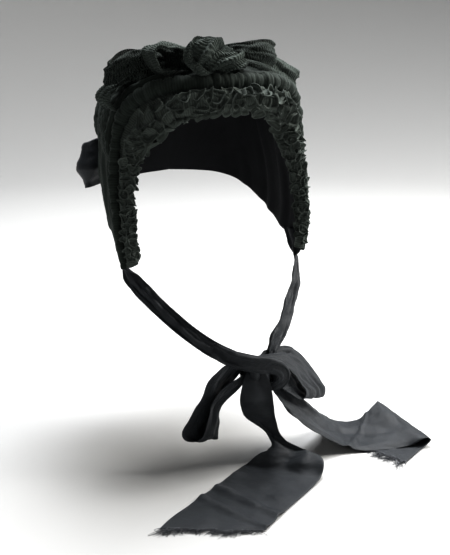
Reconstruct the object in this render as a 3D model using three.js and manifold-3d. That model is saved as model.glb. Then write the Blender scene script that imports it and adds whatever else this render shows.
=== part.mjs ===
// A black mourning bonnet as it is worn: a crape-covered cap, a gathered roll along its front edge,
// a pinched ruche inside the roll, a crape bow on top, a silk bow at the back, and silk ties that
// are fastened in a bow under the chin, with two tails lying on the surface below.
//
// Millimetres. The wearer looks towards -Y, +Z is up, and the origin is the inside top of the cap.

import * as THREE from 'three';
import Module from 'manifold-3d';

const wasm = await Module();
wasm.setup();

// Driving dimensions
const archHalfWidth = 84; // centre plane to the middle of the roll, where the front is widest
const archDrop = 150; // inside top of the cap down to its jaw corners
const capDepth = 130; // front of the roll back to the dome
const tieReach = 155; // jaw corners down to the surface that the tails lie on
const rollDiameter = 14.5; // roll at the top of the front
const rollGathers = 30; // gathers along the roll
const rollGatherDepth = 0.07; // share of the roll's radius that the gathers sink
const rucheDiameter = 17; // pinched ruche at the top of the front
const ruchePinches = 30; // pinches along the ruche
const ruchePinchDepth = 0.22; // share of the ruche's radius that the pinches sink
const capWall = 2; // stiffened cap
const crapeWall = 1.2; // puffs and loops of crape
const silkWall = 1; // ribbon
const silkWidth = 63.5; // ribbon of the ties, two and a half inches
const crapeWidth = 63.5; // crape bands of the top bow
const puffHeight = 4.5; // how far the crape puffs stand off the cap
const puffCount = 5; // puffs from the roll to the back
const clearance = 0.3; // gap between pieces that touch

// How finely the pieces are divided
const tubeSides = 8;
const capSteps = { back: 10, side: 20 };
const puffSteps = { back: 2 * puffCount, side: 18 };
const puffReach = { from: 0.1, to: 0.66, low: 0.2, high: 0.8 }; // shares of the cap's surface
const bandColumns = 6;
const ribbonFolds = 1.5; // half waves from a ribbon's middle line to its edge
const archFocus = 0.6; // share of archDrop down to the middle of the face opening

// The front arch from its top down one side. x is a share of archHalfWidth, y of capDepth and z of
// archDrop; roll and ruche are shares of their diameters; inward and forward move the ruche off
// the roll, as shares of rucheDiameter.
const archRows = [
  { x: 0, y: -0.323, z: -0.033, roll: 1, ruche: 0.9, inward: 0.76, forward: 0.5 },
  { x: 0.36, y: -0.292, z: -0.037, roll: 1, ruche: 1.02, inward: 0.86, forward: 0.5 },
  { x: 0.62, y: -0.215, z: -0.06, roll: 0.97, ruche: 1.24, inward: 1.02, forward: 0.5 },
  { x: 0.8, y: -0.115, z: -0.12, roll: 0.9, ruche: 1.42, inward: 1.15, forward: 0.55 },
  { x: 0.9, y: -0.046, z: -0.213, roll: 0.78, ruche: 1.3, inward: 1.1, forward: 0.55 },
  { x: 0.955, y: -0.031, z: -0.32, roll: 0.66, ruche: 0.95, inward: 0.82, forward: 0.5 },
  { x: 0.98, y: -0.031, z: -0.467, roll: 0.62, ruche: 0.66, inward: 0.55, forward: 0.42 },
  { x: 1, y: -0.054, z: -0.6, roll: 0.6, ruche: 0.52, inward: 0.44, forward: 0.38 },
  { x: 1, y: -0.085, z: -0.733, roll: 0.56, ruche: 0.48, inward: 0.42, forward: 0.36 },
  { x: 0.985, y: -0.108, z: -0.867, roll: 0.5, ruche: 0.42, inward: 0.4, forward: 0.32 },
  { x: 0.95, y: -0.115, z: -1, roll: 0.42, ruche: 0.36, inward: 0.36, forward: 0.28 },
];

// The cap from its rim to the nape. depth is a share of capDepth, lean is how much of the rim's
// lean is left, width is a share of the rim's, and top and bottom are shares of archDrop.
const capRows = [
  { depth: 0.06, lean: 1, width: 0.985, top: -0.035, bottom: -0.99 },
  { depth: 0.17, lean: 0.8, width: 0.98, top: -0.008, bottom: -0.93 },
  { depth: 0.33, lean: 0.55, width: 0.945, top: 0, bottom: -0.84 },
  { depth: 0.48, lean: 0.3, width: 0.89, top: -0.035, bottom: -0.75 },
  { depth: 0.6, lean: 0.1, width: 0.78, top: -0.13, bottom: -0.68 },
  { depth: 0.68, lean: 0, width: 0.6, top: -0.27, bottom: -0.64 },
  { depth: 0.71, lean: 0, width: 0.35, top: -0.43, bottom: -0.62 },
  { depth: 0.72, lean: 0, width: 0.06, top: -0.58, bottom: -0.61 },
];

// Bands and ribbons, a row for each section. x is a share of archHalfWidth and y of capDepth; z is a
// share of archDrop down to -1, the jaw corners, and of tieReach from there to -2, the surface.
// ax, ay and az point across the band; half is its half width there and fold the height of its
// folds, as shares of the band's full width.
const bowKnotRows = [
  { x: -0.14, y: -0.36, z: 0.008, ax: 1, ay: 0, az: 0.05, half: 0.22, fold: 0.015 },
  { x: -0.14, y: -0.37, z: 0.08, ax: 1, ay: 0, az: 0.25, half: 0.27, fold: 0.02 },
  { x: -0.13, y: -0.29, z: 0.147, ax: 1, ay: 0, az: 0.25, half: 0.3, fold: 0.025 },
  { x: -0.11, y: -0.15, z: 0.167, ax: 1, ay: 0, az: 0.2, half: 0.3, fold: 0.025 },
  { x: -0.1, y: -0.02, z: 0.127, ax: 1, ay: 0, az: 0.1, half: 0.27, fold: 0.02 },
  { x: -0.1, y: 0.07, z: 0.05, ax: 1, ay: 0, az: 0, half: 0.22, fold: 0.015 },
];
const loopLeftOuterRows = [
  { x: -0.48, y: 0.04, z: 0.07, ax: 0, ay: 1, az: 0, half: 0.16, fold: 0.02 },
  { x: -0.54, y: 0.04, z: 0.12, ax: 0, ay: 1, az: 0, half: 0.22, fold: 0.016 },
  { x: -0.67, y: 0.04, z: 0.135, ax: 0, ay: 1, az: 0, half: 0.25, fold: 0.008 },
  { x: -0.83, y: 0.04, z: 0.09, ax: 0, ay: 1, az: 0, half: 0.25, fold: 0.006 },
  { x: -0.97, y: 0.045, z: 0.02, ax: 0, ay: 1, az: 0, half: 0.24, fold: 0.006 },
  { x: -0.94, y: 0.045, z: -0.02, ax: 0, ay: 1, az: 0, half: 0.22, fold: 0.008 },
  { x: -0.77, y: 0.04, z: 0.005, ax: 0, ay: 1, az: 0, half: 0.19, fold: 0.012 },
  { x: -0.53, y: 0.04, z: 0.035, ax: 0, ay: 1, az: 0, half: 0.14, fold: 0.018 },
];
const loopLeftInnerRows = [
  { x: -0.33, y: -0.16, z: 0.06, ax: 0, ay: 1, az: 0, half: 0.14, fold: 0.016 },
  { x: -0.4, y: -0.16, z: 0.125, ax: 0, ay: 1, az: 0.1, half: 0.19, fold: 0.013 },
  { x: -0.52, y: -0.16, z: 0.14, ax: 0, ay: 1, az: 0.1, half: 0.2, fold: 0.008 },
  { x: -0.64, y: -0.15, z: 0.09, ax: 0, ay: 1, az: 0.1, half: 0.2, fold: 0.008 },
  { x: -0.65, y: -0.14, z: 0.035, ax: 0, ay: 1, az: 0.1, half: 0.19, fold: 0.008 },
  { x: -0.52, y: -0.15, z: 0.015, ax: 0, ay: 1, az: 0, half: 0.17, fold: 0.013 },
  { x: -0.36, y: -0.16, z: 0.02, ax: 0, ay: 1, az: 0, half: 0.14, fold: 0.016 },
];
const loopLeftLowRows = [
  { x: -0.67, y: 0.08, z: -0.05, ax: 0, ay: 1, az: 0, half: 0.14, fold: 0.014 },
  { x: -0.76, y: 0.07, z: -0.035, ax: 0, ay: 1, az: 0, half: 0.17, fold: 0.012 },
  { x: -0.88, y: 0.06, z: -0.045, ax: 0, ay: 1, az: 0, half: 0.19, fold: 0.009 },
  { x: -1.01, y: 0.06, z: -0.085, ax: 0, ay: 1, az: 0, half: 0.19, fold: 0.009 },
  { x: -1.04, y: 0.06, z: -0.135, ax: 0, ay: 1, az: 0, half: 0.17, fold: 0.009 },
  { x: -0.96, y: 0.07, z: -0.175, ax: 0, ay: 1, az: 0, half: 0.14, fold: 0.01 },
];
const loopRightRows = [
  { x: 0.12, y: -0.14, z: 0.06, ax: 0, ay: 1, az: 0, half: 0.16, fold: 0.016 },
  { x: 0.2, y: -0.14, z: 0.135, ax: 0, ay: 1, az: 0, half: 0.2, fold: 0.014 },
  { x: 0.36, y: -0.14, z: 0.16, ax: 0, ay: 1, az: 0, half: 0.22, fold: 0.012 },
  { x: 0.52, y: -0.14, z: 0.125, ax: 0, ay: 1, az: 0, half: 0.22, fold: 0.012 },
  { x: 0.53, y: -0.14, z: 0.06, ax: 0, ay: 1, az: 0, half: 0.2, fold: 0.012 },
  { x: 0.36, y: -0.14, z: 0.035, ax: 0, ay: 1, az: 0, half: 0.19, fold: 0.014 },
  { x: 0.17, y: -0.14, z: 0.025, ax: 0, ay: 1, az: 0, half: 0.16, fold: 0.016 },
];
const bandEndRows = [
  { x: 0.36, y: 0.06, z: 0.085, ax: 0.1, ay: 0.86, az: 0.1, half: 0.16, fold: 0.012 },
  { x: 0.52, y: 0.05, z: 0.075, ax: 0.1, ay: 0.8, az: 0.25, half: 0.2, fold: 0.012 },
  { x: 0.69, y: 0.045, z: 0.035, ax: 0.1, ay: 0.75, az: 0.4, half: 0.22, fold: 0.012 },
  { x: 0.86, y: 0.045, z: -0.01, ax: 0.1, ay: 0.75, az: 0.45, half: 0.22, fold: 0.012 },
  { x: 1.01, y: 0.05, z: -0.06, ax: 0.1, ay: 0.75, az: 0.5, half: 0.22, fold: 0.012 },
];
const backKnotRows = [
  { x: 0, y: 0.745, z: -0.4, ax: 1, ay: 0, az: 0, half: 0.14, fold: 0.012 },
  { x: 0, y: 0.79, z: -0.41, ax: 1, ay: 0, az: 0, half: 0.17, fold: 0.016 },
  { x: 0, y: 0.825, z: -0.5, ax: 1, ay: 0, az: 0, half: 0.19, fold: 0.018 },
  { x: 0, y: 0.79, z: -0.59, ax: 1, ay: 0, az: 0, half: 0.17, fold: 0.016 },
  { x: 0, y: 0.745, z: -0.6, ax: 1, ay: 0, az: 0, half: 0.14, fold: 0.012 },
];
const backLoopRows = [
  { x: -0.1, y: 0.76, z: -0.49, ax: 0, ay: 0, az: 1, half: 0.13, fold: 0.018 },
  { x: -0.34, y: 0.74, z: -0.49, ax: 0, ay: 0, az: 1, half: 0.22, fold: 0.016 },
  { x: -0.62, y: 0.69, z: -0.5, ax: 0, ay: 0, az: 1, half: 0.29, fold: 0.012 },
  { x: -0.87, y: 0.62, z: -0.515, ax: 0, ay: 0, az: 1, half: 0.32, fold: 0.008 },
  { x: -1.02, y: 0.6, z: -0.53, ax: 0, ay: 0, az: 1, half: 0.33, fold: 0.005 },
  { x: -0.99, y: 0.67, z: -0.54, ax: 0, ay: 0, az: 1, half: 0.33, fold: 0.005 },
  { x: -0.73, y: 0.745, z: -0.53, ax: 0, ay: 0, az: 1, half: 0.29, fold: 0.008 },
  { x: -0.42, y: 0.8, z: -0.51, ax: 0, ay: 0, az: 1, half: 0.21, fold: 0.016 },
  { x: -0.1, y: 0.81, z: -0.495, ax: 0, ay: 0, az: 1, half: 0.13, fold: 0.018 },
];
const tieRows = [
  { x: -0.93, y: 0, z: -0.89, ax: 0.3, ay: 1, az: 0, half: 0.15, fold: 0.013 },
  { x: -0.925, y: -0.05, z: -0.99, ax: 0.1, ay: 1, az: 0.1, half: 0.14, fold: 0.02 },
  { x: -0.875, y: -0.14, z: -1.063, ax: -0.6, ay: 0.6, az: -0.5, half: 0.12, fold: 0.026 },
  { x: -0.78, y: -0.25, z: -1.14, ax: -0.6, ay: 0.1, az: -0.8, half: 0.11, fold: 0.028 },
  { x: -0.63, y: -0.36, z: -1.232, ax: -0.55, ay: -0.1, az: -0.8, half: 0.11, fold: 0.028 },
  { x: -0.48, y: -0.47, z: -1.31, ax: -0.4, ay: -0.2, az: -0.9, half: 0.11, fold: 0.028 },
  { x: -0.31, y: -0.56, z: -1.377, ax: -0.3, ay: -0.2, az: -0.9, half: 0.11, fold: 0.028 },
  { x: -0.05, y: -0.61, z: -1.445, ax: -0.1, ay: -0.2, az: -1, half: 0.1, fold: 0.028 },
];
const tieLeftRows = [
  ...tieRows.slice(0, -1).map((row) => ({ ...row, x: -row.x, ax: -row.ax })),
  { x: 0.22, y: -0.6, z: -1.445, ax: 0.1, ay: -0.2, az: -1, half: 0.1, fold: 0.028 },
];
const chinKnotRows = [
  { x: 0.05, y: -0.55, z: -1.406, ax: 1, ay: 0, az: -0.1, half: 0.29, fold: 0.012 },
  { x: 0.07, y: -0.68, z: -1.406, ax: 1, ay: 0, az: -0.12, half: 0.3, fold: 0.016 },
  { x: 0.1, y: -0.735, z: -1.46, ax: 1, ay: 0, az: -0.2, half: 0.3, fold: 0.02 },
  { x: 0.13, y: -0.735, z: -1.532, ax: 1, ay: 0, az: -0.2, half: 0.29, fold: 0.02 },
  { x: 0.14, y: -0.67, z: -1.581, ax: 1, ay: 0, az: -0.15, half: 0.28, fold: 0.016 },
  { x: 0.13, y: -0.55, z: -1.571, ax: 1, ay: 0, az: -0.1, half: 0.27, fold: 0.012 },
  { x: 0.08, y: -0.505, z: -1.484, ax: 1, ay: 0, az: -0.1, half: 0.28, fold: 0.012 },
];
const chinLoopRightRows = [
  { x: -0.05, y: -0.61, z: -1.484, ax: -0.29, ay: 0.95, az: 0, half: 0.1, fold: 0.02 },
  { x: -0.21, y: -0.61, z: -1.51, ax: -0.29, ay: 0.95, az: 0, half: 0.16, fold: 0.02 },
  { x: -0.35, y: -0.61, z: -1.59, ax: -0.29, ay: 0.95, az: 0, half: 0.22, fold: 0.015 },
  { x: -0.47, y: -0.6, z: -1.69, ax: -0.29, ay: 0.95, az: 0, half: 0.25, fold: 0.01 },
  { x: -0.54, y: -0.59, z: -1.775, ax: -0.29, ay: 0.95, az: 0, half: 0.26, fold: 0.006 },
  { x: -0.43, y: -0.585, z: -1.835, ax: -0.29, ay: 0.95, az: 0, half: 0.26, fold: 0.006 },
  { x: -0.3, y: -0.585, z: -1.81, ax: -0.29, ay: 0.95, az: 0, half: 0.26, fold: 0.006 },
  { x: -0.27, y: -0.59, z: -1.735, ax: -0.29, ay: 0.95, az: 0, half: 0.22, fold: 0.01 },
  { x: -0.23, y: -0.6, z: -1.645, ax: -0.29, ay: 0.95, az: 0, half: 0.16, fold: 0.015 },
  { x: -0.08, y: -0.6, z: -1.566, ax: -0.29, ay: 0.95, az: 0, half: 0.1, fold: 0.02 },
];
const chinLoopLeftRows = [
  { x: 0.27, y: -0.58, z: -1.43, ax: 0.4, ay: 0.9, az: 0.1, half: 0.12, fold: 0.02 },
  { x: 0.47, y: -0.545, z: -1.465, ax: 0.5, ay: 0.85, az: 0.1, half: 0.24, fold: 0.018 },
  { x: 0.68, y: -0.53, z: -1.575, ax: 0.5, ay: 0.85, az: 0.05, half: 0.28, fold: 0.012 },
  { x: 0.85, y: -0.535, z: -1.673, ax: 0.5, ay: 0.85, az: -0.1, half: 0.28, fold: 0.006 },
  { x: 0.9, y: -0.545, z: -1.721, ax: 0.5, ay: 0.85, az: -0.1, half: 0.28, fold: 0.006 },
  { x: 0.8, y: -0.57, z: -1.75, ax: 0.45, ay: 0.9, az: -0.05, half: 0.25, fold: 0.008 },
  { x: 0.6, y: -0.6, z: -1.706, ax: 0.3, ay: 0.95, az: 0, half: 0.19, fold: 0.015 },
  { x: 0.33, y: -0.6, z: -1.595, ax: 0.2, ay: 1, az: 0, half: 0.1, fold: 0.02 },
];
const tailRightRows = [
  { x: 0.03, y: -0.68, z: -1.537, ax: 1, ay: -0.3, az: 0, half: 0.2, fold: 0.025 },
  { x: 0.02, y: -0.72, z: -1.629, ax: 1, ay: -0.35, az: 0, half: 0.26, fold: 0.025 },
  { x: 0.06, y: -0.715, z: -1.711, ax: 1, ay: -0.4, az: 0, half: 0.22, fold: 0.025 },
  { x: 0.15, y: -0.675, z: -1.789, ax: 1, ay: -0.4, az: 0, half: 0.13, fold: 0.02 },
  { x: 0.25, y: -0.645, z: -1.861, ax: 1, ay: -0.4, az: 0, half: 0.09, fold: 0.015 },
  { x: 0.31, y: -0.645, z: -1.919, ax: 0.95, ay: -0.45, az: 0, half: 0.11, fold: 0.012 },
  { x: 0.36, y: -0.68, z: -1.968, ax: 0.8, ay: -0.6, az: 0, half: 0.24, fold: 0.008 },
  { x: 0.32, y: -0.77, z: -1.992, ax: 0.7, ay: -0.72, az: 0, half: 0.42, fold: 0.003 },
  { x: 0.12, y: -0.89, z: -1.997, ax: 0.56, ay: -0.83, az: 0, half: 0.5, fold: 0 },
  { x: -0.36, y: -1.08, z: -1.997, ax: 0.56, ay: -0.83, az: 0, half: 0.5, fold: 0 },
  { x: -0.66, y: -1.21, z: -1.997, ax: 0.68, ay: -0.73, az: 0, half: 0.52, fold: 0 },
  { x: -0.84, y: -1.29, z: -1.997, ax: 0.9, ay: -0.44, az: 0, half: 0.57, fold: 0 },
];
const tailLeftRows = [
  { x: 0.3, y: -0.62, z: -1.61, ax: 0.3, ay: 0.9, az: 0.4, half: 0.12, fold: 0.02 },
  { x: 0.55, y: -0.59, z: -1.765, ax: 0.3, ay: 0.9, az: 0.4, half: 0.22, fold: 0.02 },
  { x: 0.81, y: -0.555, z: -1.871, ax: 0.2, ay: 0.9, az: 0.3, half: 0.32, fold: 0.01 },
  { x: 1.05, y: -0.53, z: -1.948, ax: 0.08, ay: 1, az: 0.1, half: 0.44, fold: 0.004 },
  { x: 1.31, y: -0.55, z: -1.973, ax: 0.02, ay: 1, az: 0, half: 0.5, fold: 0 },
  { x: 1.54, y: -0.59, z: -1.939, ax: 0, ay: 1, az: 0, half: 0.5, fold: 0 },
  { x: 1.73, y: -0.625, z: -1.915, ax: 0, ay: 1, az: 0, half: 0.5, fold: 0 },
  { x: 1.82, y: -0.64, z: -1.953, ax: 0, ay: 1, az: 0, half: 0.5, fold: 0 },
  { x: 1.74, y: -0.65, z: -1.992, ax: -0.05, ay: 1, az: 0, half: 0.5, fold: 0 },
  { x: 1.57, y: -0.69, z: -1.997, ax: -0.2, ay: 0.97, az: 0, half: 0.5, fold: 0 },
  { x: 1.22, y: -0.81, z: -1.997, ax: -0.4, ay: 0.92, az: 0, half: 0.5, fold: 0 },
];

// Materials
const crape = new THREE.MeshStandardMaterial({ color: 0x0f1413, roughness: 0.95, metalness: 0 });
const silk = new THREE.MeshStandardMaterial({ color: 0x16181c, roughness: 0.6, metalness: 0 });

// Shares to millimetres.
function place(x, y, z) {
  const below = Math.min(z + 1, 0);
  const down = (z - below) * archDrop + below * tieReach;
  return new THREE.Vector3(x * archHalfWidth, y * capDepth, down);
}

const surface = place(0, 0, -2).z;

// A smooth curve through three columns of a table, read by its row from 0 to 1.
function columnCurve(rows, a, b, c) {
  const points = rows.map((row) => new THREE.Vector3(row[a] ?? 0, row[b] ?? 0, row[c] ?? 0));
  return new THREE.CatmullRomCurve3(points, false, 'catmullrom', 0.5);
}

// Both sides of the arch, as one table from the wearer's right corner over the top to the left.
const wholeArch = [
  ...archRows.slice(1).reverse().map((row) => ({ ...row, x: -row.x })),
  ...archRows,
];
const archLine = columnCurve(wholeArch, 'x', 'y', 'z');
const archRoll = columnCurve(wholeArch, 'roll', 'ruche', 'inward');
const archForward = columnCurve(wholeArch, 'forward', 'forward', 'forward');

// A closed body from rings of equally many points, with flat ends unless the rings close.
function loft(rings, endless = false) {
  const around = rings[0].length;
  const positions = rings.flat().flatMap((point) => [point.x, point.y, point.z]);
  const faces = [];
  const spans = endless ? rings.length : rings.length - 1;
  for (let i = 0; i < spans; i += 1) {
    const next = (i + 1) % rings.length;
    for (let j = 0; j < around; j += 1) {
      const right = (j + 1) % around;
      faces.push([i * around + j, i * around + right, next * around + right]);
      faces.push([i * around + j, next * around + right, next * around + j]);
    }
  }
  if (!endless) {
    const last = (rings.length - 1) * around;
    const half = around / 2;
    for (let j = 0; j < half - 1; j += 1) {
      const far = around - 1 - j;
      faces.push([j, far, j + 1], [j + 1, far, far - 1]);
      faces.push([last + j, last + j + 1, last + far], [last + j + 1, last + far - 1, last + far]);
    }
  }
  return solid(positions, faces);
}

// A manifold solid that faces outwards, whichever way its faces were listed.
function solid(positions, faces) {
  const corner = (k) => new THREE.Vector3().fromArray(positions, k * 3);
  let volume = 0;
  for (const [a, b, c] of faces) volume += corner(a).dot(corner(b).cross(corner(c)));
  const outward = volume < 0 ? faces.map(([a, b, c]) => [a, c, b]) : faces;
  return new wasm.Manifold(new wasm.Mesh({
    numProp: 3,
    vertProperties: new Float32Array(positions),
    triVerts: new Uint32Array(outward.flat()),
  }));
}

// A tube along the arch: centre and radius come from functions of the place from 0 to 1.
function archTube({ steps, centre, radius, grow }) {
  const rings = [];
  const nudge = 0.1 / steps;
  for (let i = 0; i <= steps; i += 1) {
    const t = i / steps;
    const middle = centre(t);
    const along = centre(Math.min(t + nudge, 1)).sub(centre(Math.max(t - nudge, 0))).normalize();
    const outward = new THREE.Vector3(middle.x, 0, middle.z + archDrop * archFocus).normalize();
    outward.addScaledVector(along, -outward.dot(along)).normalize();
    const sideways = new THREE.Vector3().crossVectors(along, outward);
    const reach = radius(t) + grow;
    rings.push(Array.from({ length: tubeSides }, (unused, j) => {
      const turn = ((j + 0.5) / tubeSides) * 2 * Math.PI;
      return middle.clone()
        .addScaledVector(outward, Math.cos(turn) * reach)
        .addScaledVector(sideways, Math.sin(turn) * reach);
    }));
  }
  return loft(rings);
}

function archPlace(t) {
  const share = archLine.getPoint(t);
  return place(share.x, share.y, share.z);
}

function frontRoll(grow) {
  const steps = rollGathers * 2;
  return archTube({
    steps,
    centre: archPlace,
    radius: (t) => {
      const gather = Math.cos(t * steps * Math.PI) < 0 ? rollGatherDepth : 0;
      return archRoll.getPoint(t).x * rollDiameter / 2 * (1 - gather);
    },
    grow,
  });
}

function faceRuche(grow) {
  const steps = ruchePinches * 2;
  const focusHeight = -archDrop * archFocus;
  return archTube({
    steps,
    centre: (t) => {
      const point = archPlace(t);
      const inward = new THREE.Vector3(-point.x, 0, focusHeight - point.z).normalize();
      const shift = archRoll.getPoint(t).z * rucheDiameter;
      point.addScaledVector(inward, shift);
      point.y -= archForward.getPoint(t).x * rucheDiameter;
      return point;
    },
    radius: (t) => {
      const pinch = Math.cos(t * steps * Math.PI) < 0 ? ruchePinchDepth : 0;
      return archRoll.getPoint(t).y * rucheDiameter / 2 * (1 - pinch);
    },
    grow,
  });
}

// A sheet of the given wall over a grid of points; lift moves it off the grid along its normals.
function sheet({ grid, wall, grow = 0, lift = () => 0, endless = false }) {
  const rows = grid.length;
  const columns = grid[0].length;
  const row = (i) => (endless ? (i + rows) % rows : Math.min(Math.max(i, 0), rows - 1));
  const column = (j) => Math.min(Math.max(j, 0), columns - 1);
  const rings = grid.map((line, i) => {
    const front = [];
    const back = [];
    line.forEach((point, j) => {
      const along = grid[row(i + 1)][j].clone().sub(grid[row(i - 1)][j]);
      const across = grid[i][column(j + 1)].clone().sub(grid[i][column(j - 1)]);
      const normal = new THREE.Vector3().crossVectors(along, across).normalize();
      const middle = point.clone().addScaledVector(normal, lift(i / (rows - 1), j / (columns - 1)));
      const edge = across.clone().normalize().multiplyScalar(j === 0 ? -grow : j === columns - 1 ? grow : 0);
      const end = along.clone().normalize().multiplyScalar(i === 0 ? -grow : i === rows - 1 ? grow : 0);
      middle.add(edge).add(endless ? new THREE.Vector3() : end);
      front.push(middle.clone().addScaledVector(normal, wall / 2 + grow));
      back.unshift(middle.clone().addScaledVector(normal, -wall / 2 - grow));
    });
    return [...front, ...back];
  });
  return loft(rings, endless);
}

// A band along its table of sections, folded lengthwise.
function band({ rows, width, wall, steps, columns = bandColumns, folds, grow, endless = false }) {
  const points = rows.map((row) => place(row.x, row.y, row.z));
  const centre = new THREE.CatmullRomCurve3(points, endless, 'catmullrom', 0.5);
  const looped = endless ? [...rows, rows[0]] : rows;
  const across = columnCurve(looped, 'ax', 'ay', 'az');
  const form = columnCurve(looped, 'half', 'fold', 'fold');
  const count = endless ? steps : steps + 1;
  const grid = [];
  for (let i = 0; i < count; i += 1) {
    const t = i / steps;
    const along = centre.getTangent(t);
    const side = across.getPoint(t).normalize();
    const normal = new THREE.Vector3().crossVectors(along, side).normalize();
    const { x: half, y: fold } = form.getPoint(t);
    const line = [];
    for (let j = 0; j <= columns; j += 1) {
      const share = (2 * j) / columns - 1;
      const rise = Math.cos(share * folds * Math.PI) * Math.max(fold, 0) * width;
      const point = centre.getPoint(t)
        .addScaledVector(side, share * half * width)
        .addScaledVector(normal, rise);
      point.z = Math.max(point.z, surface + wall / 2);
      line.push(point);
    }
    grid.push(line);
  }
  return sheet({ grid, wall, grow, endless });
}

// The cap's middle surface at a share from the rim to the nape, and from corner to corner.
const capForm = columnCurve(capRows, 'depth', 'lean', 'width');
const capHeights = columnCurve(capRows, 'top', 'bottom', 'bottom');
function capPoint(back, side) {
  const arch = archLine.getPoint(side);
  const { x: depth, y: lean, z: width } = capForm.getPoint(back);
  const { x: top, y: bottom } = capHeights.getPoint(back);
  const archTop = archRows[0].z;
  const drop = (arch.z - archTop) / (archRows.at(-1).z - archTop);
  const point = place(arch.x * width, depth + arch.y * lean, top + drop * (bottom - top));
  point.z += capWall / 2;
  return point;
}

function capGrid({ from, to, low, high }, { back, side }) {
  const grid = [];
  for (let i = 0; i <= back; i += 1) {
    const line = [];
    for (let j = 0; j <= side; j += 1) {
      line.push(capPoint(from + ((to - from) * i) / back, low + ((high - low) * j) / side));
    }
    grid.push(line);
  }
  return grid;
}

function crownShell(grow) {
  const whole = { from: 0, to: 1, low: 0, high: 1 };
  return sheet({ grid: capGrid(whole, capSteps), wall: capWall, grow });
}

function crownPuffs(grow) {
  return sheet({
    grid: capGrid(puffReach, puffSteps),
    wall: crapeWall,
    grow,
    lift: (back) => {
      const seat = -(capWall + crapeWall) / 2 - clearance;
      const puff = Math.abs(Math.sin(back * puffCount * Math.PI)) * puffHeight;
      return seat - puff;
    },
  });
}

function crapeBand(rows, form) {
  return (grow) => band({ rows, width: crapeWidth, wall: crapeWall, grow, ...form });
}

function silkBand(rows, form) {
  return (grow) => band({ rows, width: silkWidth, wall: silkWall, folds: ribbonFolds, grow, ...form });
}

const mirrored = (rows) => rows.map((row) => ({ ...row, x: -row.x, ax: -row.ax }));

// The pieces in the order that they give way: each is cut clear of those before it.
const pieces = [
  { name: 'front_roll', make: frontRoll, material: crape },
  { name: 'crown_shell', make: crownShell, material: crape },
  { name: 'face_ruche', make: faceRuche, material: crape },
  { name: 'crown_puffs', make: crownPuffs, material: crape },
  { name: 'bow_knot', make: crapeBand(bowKnotRows, { steps: 8, folds: 2.5, columns: 10 }), material: crape },
  { name: 'bow_loop_left_inner', make: crapeBand(loopLeftInnerRows, { steps: 12, folds: 1 }), material: crape },
  { name: 'bow_loop_left_outer', make: crapeBand(loopLeftOuterRows, { steps: 14, folds: 1 }), material: crape },
  { name: 'bow_loop_left_low', make: crapeBand(loopLeftLowRows, { steps: 10, folds: 1 }), material: crape },
  { name: 'bow_loop_right', make: crapeBand(loopRightRows, { steps: 12, folds: 1.5 }), material: crape },
  { name: 'bow_band_end', make: crapeBand(bandEndRows, { steps: 6, folds: 1.5 }), material: crape },
  { name: 'back_knot', make: silkBand(backKnotRows, { steps: 8 }), material: silk },
  { name: 'back_loop_right', make: silkBand(backLoopRows, { steps: 16 }), material: silk },
  { name: 'back_loop_left', make: silkBand(mirrored(backLoopRows), { steps: 16 }), material: silk },
  { name: 'chin_knot', make: silkBand(chinKnotRows, { steps: 14, endless: true }), material: silk },
  { name: 'tie_right', make: silkBand(tieRows, { steps: 12 }), material: silk },
  { name: 'tie_left', make: silkBand(tieLeftRows, { steps: 12 }), material: silk },
  { name: 'chin_loop_right', make: silkBand(chinLoopRightRows, { steps: 16 }), material: silk },
  { name: 'chin_loop_left', make: silkBand(chinLoopLeftRows, { steps: 16 }), material: silk },
  { name: 'tail_right', make: silkBand(tailRightRows, { steps: 20 }), material: silk },
  { name: 'tail_left', make: silkBand(tailLeftRows, { steps: 20 }), material: silk },
];

function boxesMeet(a, b) {
  return [0, 1, 2].every((k) => a.min[k] <= b.max[k] && b.min[k] <= a.max[k]);
}

// The largest body that is left of a piece after its neighbours are cut away.
function fitted(body, neighbours) {
  let rest = body;
  for (const { grown } of neighbours) {
    if (boxesMeet(rest.boundingBox(), grown.boundingBox())) rest = rest.subtract(grown);
  }
  return rest.decompose().sort((a, b) => b.volume() - a.volume())[0];
}

function meshOf(body, name, material) {
  const { vertProperties, triVerts } = body.getMesh();
  const geometry = new THREE.BufferGeometry();
  geometry.setAttribute('position', new THREE.BufferAttribute(new Float32Array(vertProperties), 3));
  geometry.setIndex(new THREE.BufferAttribute(new Uint32Array(triVerts), 1));
  geometry.computeVertexNormals();
  const mesh = new THREE.Mesh(geometry, material.clone());
  mesh.name = name;
  return mesh;
}

const bonnet = new THREE.Group();
const placed = [];
for (const { name, make, material } of pieces) {
  bonnet.add(meshOf(fitted(make(0), placed), name, material));
  placed.push({ grown: make(clearance) });
}

export default bonnet;
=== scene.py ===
# A black mourning bonnet as it is worn: crape over a stiffened cap, a gathered roll and a pinched
# ruche round the face, a crape bow on top, a silk bow behind, and silk ties bowed under the chin.
# Metres. The wearer looks towards -Y and Z is up.

import math

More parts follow.
